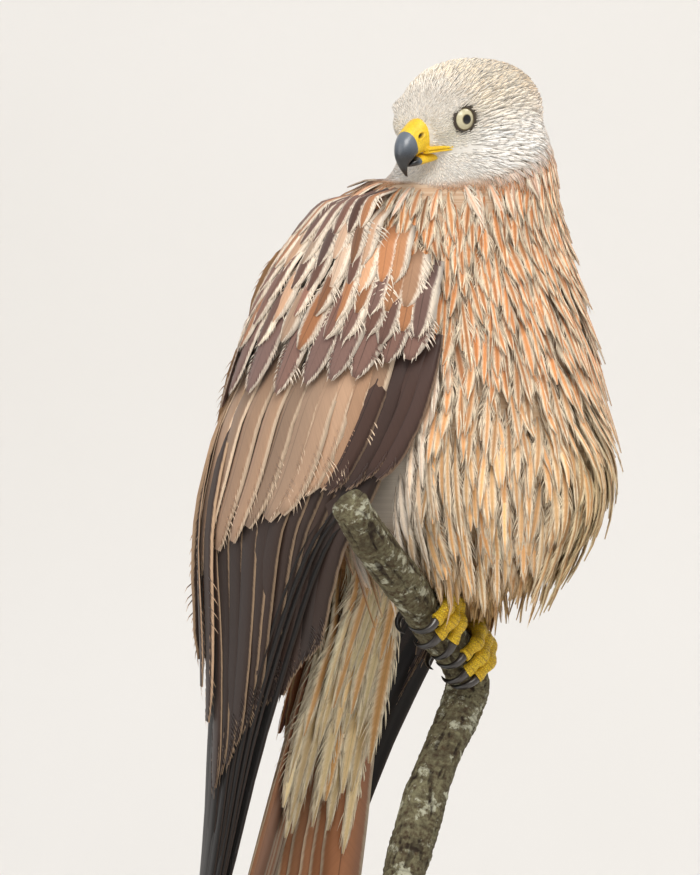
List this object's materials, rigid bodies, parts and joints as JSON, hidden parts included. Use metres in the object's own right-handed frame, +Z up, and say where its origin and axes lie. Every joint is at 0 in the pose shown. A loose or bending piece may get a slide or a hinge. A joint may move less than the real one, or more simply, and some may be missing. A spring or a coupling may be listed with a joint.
{
  "type": "red kite model",
  "caption": "Still life-size red kite with folded wings, its head turned, gripping a cut branch that a rod holds over a round base.",
  "frame": {"origin": "middle of the round base's underside, on the floor", "axes": "+Z up, the bird's breast towards -Y, its back and tail towards +Y, and its turned head's bill towards -X"},
  "size_m": [0.3, 0.3004, 0.6644],
  "materials": {
    "pale_plumage": "soft whitish grey feathers with fine dark shaft streaks",
    "rufous_plumage": "loose rufous and cream feathers",
    "brown_plumage": "dark brown vanes with pale frayed edges",
    "tail_plumage": "rufous and cream vanes",
    "eye_glass": "wet gloss, pale iris and black pupil",
    "bare_skin": "waxy yellow skin",
    "horn": "polished dark horn",
    "bark": "rough bark with pale lichen",
    "stand_steel": "brushed",
    "stand_wood": "satin lacquer"
  },
  "bodies": {
    "root": {"head": "pale_plumage", "neck": "rufous_plumage", "torso": "rufous_plumage", "thigh_left": "rufous_plumage", "thigh_right": "rufous_plumage", "wing_left": "brown_plumage", "wing_right": "brown_plumage", "tail": "tail_plumage", "eye_left": "eye_glass", "eye_right": "eye_glass", "cere": "bare_skin", "bill_lower": "bare_skin", "bill_upper": "horn", "foot_left": "bare_skin", "foot_right": "bare_skin", "claw_left_1": "horn", "claw_left_2": "horn", "claw_left_3": "horn", "claw_left_4": "horn", "claw_right_1": "horn", "claw_right_2": "horn", "claw_right_3": "horn", "claw_right_4": "horn", "perch": "bark", "stand_rod": "stand_steel", "stand_base": "stand_wood"}
  },
  "joints": []
}
